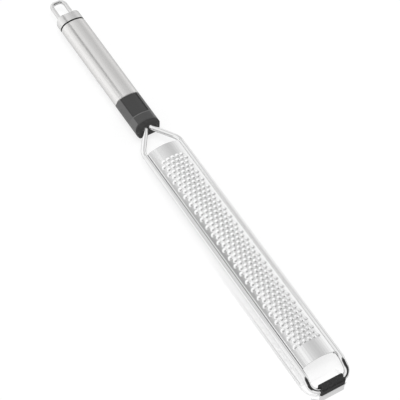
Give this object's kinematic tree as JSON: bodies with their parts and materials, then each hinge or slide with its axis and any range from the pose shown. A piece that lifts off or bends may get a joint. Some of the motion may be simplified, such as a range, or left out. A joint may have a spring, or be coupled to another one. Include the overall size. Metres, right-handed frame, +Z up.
{
  "type": "fine grater",
  "caption": "Handheld fine grater: an oval steel handle with a hanging loop and an arched plate of small raised teeth in a bent rod frame, with a rubber foot at the tip.",
  "frame": {"origin": "middle of the bounding box, at the height of the table that the foot stands on", "axes": "+X along the handle towards the tip, +Y across the grater, +Z up out of the toothed side"},
  "size_m": [0.3953, 0.0344, 0.0176],
  "materials": {
    "loop_steel": "polished",
    "cap_steel": "satin",
    "seal_black": "matt",
    "tube_steel": "brushed",
    "collar_black": "fine grain",
    "rod_steel": "polished",
    "plate_steel": "satin",
    "foot_black": "matt"
  },
  "bodies": {
    "root": {"hanging_loop": "loop_steel", "end_cap": "cap_steel", "seal_ring": "seal_black", "handle_tube": "tube_steel", "collar": "collar_black", "rod_frame": "rod_steel", "grater_plate": "plate_steel", "foot": "foot_black"}
  },
  "joints": []
}
